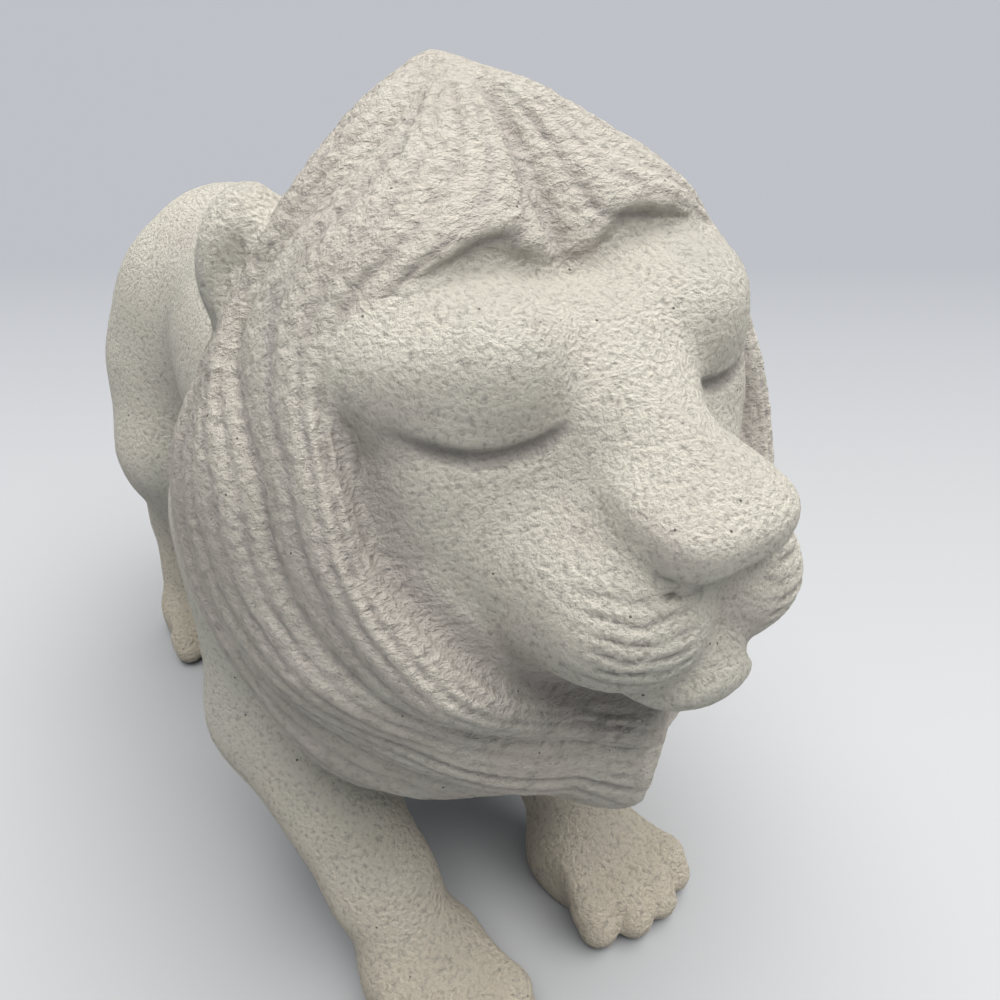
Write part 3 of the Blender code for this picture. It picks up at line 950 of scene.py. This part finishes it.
# %% [markdown]
# Four more helpers work on values and colours: a weighted sum, a change of range, a mix of two
# values, and a tint laid over a colour.

# %% Values and tints
def attribute_value(name):
    node = nodes.new("ShaderNodeAttribute")
    node.attribute_name = name
    return node.outputs["Fac"]


def sum_of(first, second, second_share):
    """The first value plus the second times a fixed share."""
    node = nodes.new("ShaderNodeMath")
    node.operation = "MULTIPLY_ADD"
    links.new(second, node.inputs[0])
    node.inputs[1].default_value = second_share
    links.new(first, node.inputs[2])
    return node.outputs["Value"]


def ranged(value, low_in, high_in, low_out=0.0, high_out=1.0):
    """The value moved from one range to another, and kept inside it."""
    node = nodes.new("ShaderNodeMapRange")
    links.new(value, node.inputs["Value"])
    node.inputs["From Min"].default_value = low_in
    node.inputs["From Max"].default_value = high_in
    node.inputs["To Min"].default_value = low_out
    node.inputs["To Max"].default_value = high_out
    return node.outputs["Result"]


def mixed_value(share, without, with_it):
    node = nodes.new("ShaderNodeMix")
    node.data_type = "FLOAT"
    links.new(share, node.inputs["Factor"])
    links.new(without, node.inputs["A"])
    links.new(with_it, node.inputs["B"])
    return node.outputs["Result"]


def tinted(share, color, tint):
    """The colour, with tint over it where share is 1."""
    node = nodes.new("ShaderNodeMix")
    node.data_type = "RGBA"
    links.new(share, node.inputs["Factor"])
    if isinstance(color, tuple):
        node.inputs[MIX_FIRST].default_value = color
    else:
        links.new(color, node.inputs[MIX_FIRST])
    node.inputs[MIX_SECOND].default_value = tint
    return node.outputs[MIX_RESULT]


hair_value = attribute_value("hair")
hollow_shade_value = attribute_value("hollow_shade")
read_values = [value.node.attribute_name for value in (hair_value, hollow_shade_value)]
print("values read from the skin:", read_values)

# %% [markdown]
# Cast stone is pale sand and cement. Its colour is warm, with broad greenish and pinkish clouds,
# and the hollows are painted grey, as painted shade. The mane is painted greyer than the face, as
# painted shade of its carved strands. The grain is coarse and drawn out sideways on the mane, and
# fine elsewhere. The same pits drive both the bump and the colour, and the pits between crumbs are
# painted darker, as painted shade. Small black specks, the painted shade of tiny pores, lie here
# and there, and the feet have yellowed.

# %% Cast stone
SAND = (0.86, 0.82, 0.72, 1.0)
MANE_PAINTED_SHADE = (0.60, 0.557, 0.495, 1.0)
GREENISH = (0.72, 0.72, 0.63, 1.0)
PINKISH = (0.74, 0.665, 0.61, 1.0)
YELLOWED = (0.76, 0.65, 0.49, 1.0)
PIT_SHADE = (0.34, 0.31, 0.28, 1.0)
HOLLOW_SHADE = (0.42, 0.38, 0.365, 1.0)
PORE_SHADE_BLACK = (0.06, 0.05, 0.05, 1.0)
SIDEWAYS = (1.6, 1.0, 1.0)
PIT_DETAIL = 5.0
CLOUD_DETAIL = 2.0
CRUMB_SHARE = 0.2
BUMP_HEIGHT = 0.0044
fine_pits = sum_of(clouds(0.0012, PIT_DETAIL), cells(0.0012), CRUMB_SHARE)
coarse_noise = clouds(0.0019, PIT_DETAIL, SIDEWAYS)
coarse_pits = sum_of(coarse_noise, cells(0.0018, SIDEWAYS), CRUMB_SHARE)
pits = mixed_value(hair_value, fine_pits, coarse_pits)
# The mane is painted greyer than the face: painted shade of its carved strands and sides.
color = tinted(ranged(hair_value, 0.0, 1.0, high_out=0.9), SAND, MANE_PAINTED_SHADE)
greenish_clouds = clouds(0.030, CLOUD_DETAIL)
color = tinted(ranged(greenish_clouds, 0.50, 0.70, high_out=0.5), color, GREENISH)
pinkish_clouds = clouds(0.022, CLOUD_DETAIL, (1.0, 1.3, 1.0))
color = tinted(ranged(pinkish_clouds, 0.52, 0.72, high_out=0.5), color, PINKISH)
place_parts = nodes.new("ShaderNodeSeparateXYZ")
links.new(place, place_parts.inputs["Vector"])
color = tinted(ranged(place_parts.outputs["Z"], 0.060, 0.010, high_out=0.6), color, YELLOWED)
# The pits between crumbs are painted darker: painted shade in the low spots of the grain.
color = tinted(ranged(pits, 0.61, 0.82, high_out=0.62), color, PIT_SHADE)
# Creases, eye slits and the valley round the face are painted grey: painted shade in the hollows.
color = tinted(ranged(hollow_shade_value, 0.1, 1.0, high_out=0.6), color, HOLLOW_SHADE)
# Small black specks: painted shade of the stone's tiny pores.
color = tinted(ranged(cells(0.0060), 0.055, 0.035, high_out=0.85), color, PORE_SHADE_BLACK)
links.new(color, shader.inputs["Base Color"])
bump = nodes.new("ShaderNodeBump")
bump.invert = True
bump.inputs["Strength"].default_value = 1.0
bump.inputs["Distance"].default_value = BUMP_HEIGHT
links.new(pits, bump.inputs["Height"])
links.new(bump.outputs["Normal"], shader.inputs["Normal"])
even.materials.append(stone)
print("nodes in the stone:", len(nodes))
